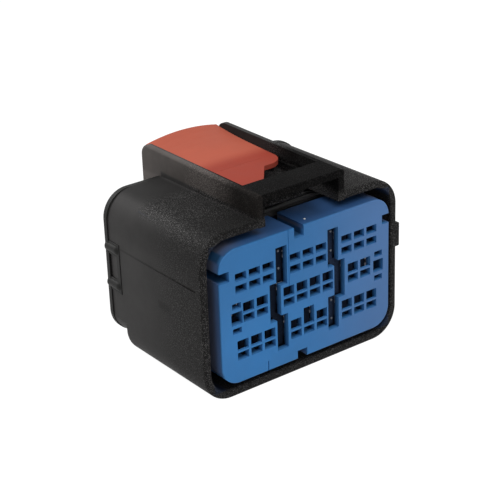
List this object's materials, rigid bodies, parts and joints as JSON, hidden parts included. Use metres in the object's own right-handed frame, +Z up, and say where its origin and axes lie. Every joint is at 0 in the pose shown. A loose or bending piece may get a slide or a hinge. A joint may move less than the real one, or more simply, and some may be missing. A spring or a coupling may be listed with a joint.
{
  "type": "sealed multi-way wire connector",
  "caption": "Black sealed wire-harness plug with a blue keyed contact holder in the shrouded front, a latch hood on top with a coral lock slider, and a covered wire seal at the back.",
  "frame": {"origin": "middle of the shell's flat underside, in the connector's mid-plane", "axes": "+X across the mating face to the right as seen from the front, +Y from the mating face towards the wires, +Z up towards the latch hood"},
  "size_m": [0.0557, 0.0452, 0.0442],
  "materials": {
    "shell_plastic": "fine-grained moulded black",
    "holder_plastic": "satin moulded blue",
    "slider_plastic": "satin moulded coral red",
    "cover_plastic": "moulded black",
    "seal_rubber": "soft silicone, dark grey",
    "contact_metal": "tin-plated copper alloy"
  },
  "bodies": {
    "plug": {"housing": "shell_plastic", "rear_cover": "cover_plastic", "perimeter_seal": "seal_rubber", "wire_seal": "seal_rubber", "contact_top_1": "contact_metal", "contact_top_2": "contact_metal", "contact_top_3": "contact_metal", "contact_top_4": "contact_metal", "contact_top_5": "contact_metal", "contact_top_6": "contact_metal", "contact_top_7": "contact_metal", "contact_top_8": "contact_metal", "contact_top_9": "contact_metal", "contact_middle_1": "contact_metal", "contact_middle_2": "contact_metal", "contact_middle_3": "contact_metal", "contact_middle_4": "contact_metal", "contact_middle_5": "contact_metal", "contact_middle_6": "contact_metal", "contact_middle_7": "contact_metal", "contact_middle_8": "contact_metal", "contact_bottom_1": "contact_metal", "contact_bottom_2": "contact_metal", "contact_bottom_3": "contact_metal", "contact_bottom_4": "contact_metal", "contact_bottom_5": "contact_metal", "contact_bottom_6": "contact_metal", "contact_bottom_7": "contact_metal", "contact_bottom_8": "contact_metal", "contact_bottom_9": "contact_metal", "power_contact_left": "contact_metal", "power_contact_right": "contact_metal"},
    "holder": {"front_holder": "holder_plastic"},
    "slider": {"lock_slider": "slider_plastic"}
  },
  "joints": [
    {"name": "holder_seat", "type": "slide", "parent": "plug", "child": "holder", "axis": [0, 1, 0], "range_m": [0, 0.0014]},
    {"name": "slider_lock", "type": "slide", "parent": "plug", "child": "slider", "axis": [0, -1, 0], "range_m": [0, 0.0045]}
  ]
}
